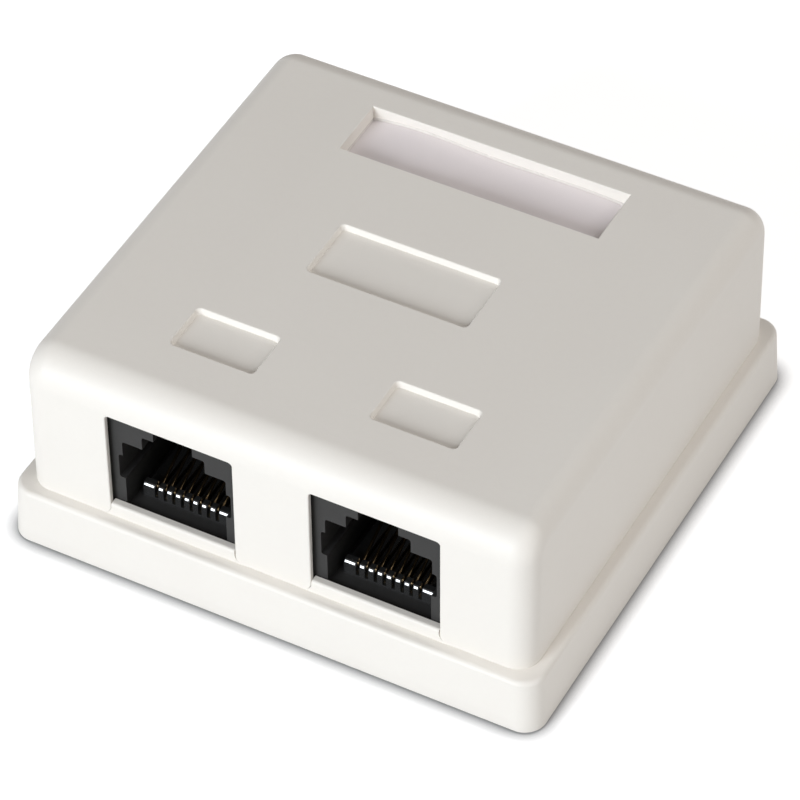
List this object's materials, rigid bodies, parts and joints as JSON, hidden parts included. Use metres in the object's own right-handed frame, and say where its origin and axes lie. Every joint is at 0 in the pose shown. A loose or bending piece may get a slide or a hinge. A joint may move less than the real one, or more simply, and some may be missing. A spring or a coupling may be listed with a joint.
{
  "type": "surface mount jack box",
  "caption": "Low square wall box in off-white plastic with modular jacks side by side in its front, a lift-off cover, a windowed label and punch-down blocks inside.",
  "frame": {"origin": "middle of the underside of the base, where the box lies on the wall", "axes": "+Z away from the wall, -Y the way the ports face, +X to the right as seen from the ports"},
  "size_m": [0.0612, 0.0594, 0.0251],
  "materials": {
    "shell": "off-white moulded plastic, fine satin",
    "jack": "dark grey moulded plastic",
    "insert": "dark grey moulded plastic with a slight sheen",
    "gold": "gold-plated spring wire",
    "tin": "tin-plated bronze sheet",
    "steel": "zinc-plated steel",
    "punch_block": "white glass-filled moulded plastic",
    "board": "green solder mask on glass-epoxy board",
    "card": "plain uncoated card",
    "window": "clear bowed film"
  },
  "bodies": {
    "base": {"base": "shell", "circuit_board": "board", "front_board_screw": "steel", "rear_board_screw": "steel", "left_jack_housing": "jack", "left_contact_insert": "insert", "left_punch_block": "punch_block", "right_jack_housing": "jack", "right_contact_insert": "insert", "right_punch_block": "punch_block", "left_contact_1": "gold", "left_contact_2": "gold", "left_contact_3": "gold", "left_contact_4": "gold", "left_contact_5": "gold", "left_contact_6": "gold", "left_contact_7": "gold", "left_contact_8": "gold", "right_contact_1": "gold", "right_contact_2": "gold", "right_contact_3": "gold", "right_contact_4": "gold", "right_contact_5": "gold", "right_contact_6": "gold", "right_contact_7": "gold", "right_contact_8": "gold", "left_blade_1": "tin", "left_blade_2": "tin", "left_blade_3": "tin", "left_blade_4": "tin", "left_blade_5": "tin", "left_blade_6": "tin", "left_blade_7": "tin", "left_blade_8": "tin", "right_blade_1": "tin", "right_blade_2": "tin", "right_blade_3": "tin", "right_blade_4": "tin", "right_blade_5": "tin", "right_blade_6": "tin", "right_blade_7": "tin", "right_blade_8": "tin"},
    "cover": {"cover": "shell", "label_card": "card", "label_window": "window"}
  },
  "joints": [
    {"name": "cover_lift", "type": "slide", "parent": "base", "child": "cover", "axis": [0, 0, 1], "range_m": [0, 0.03]}
  ]
}
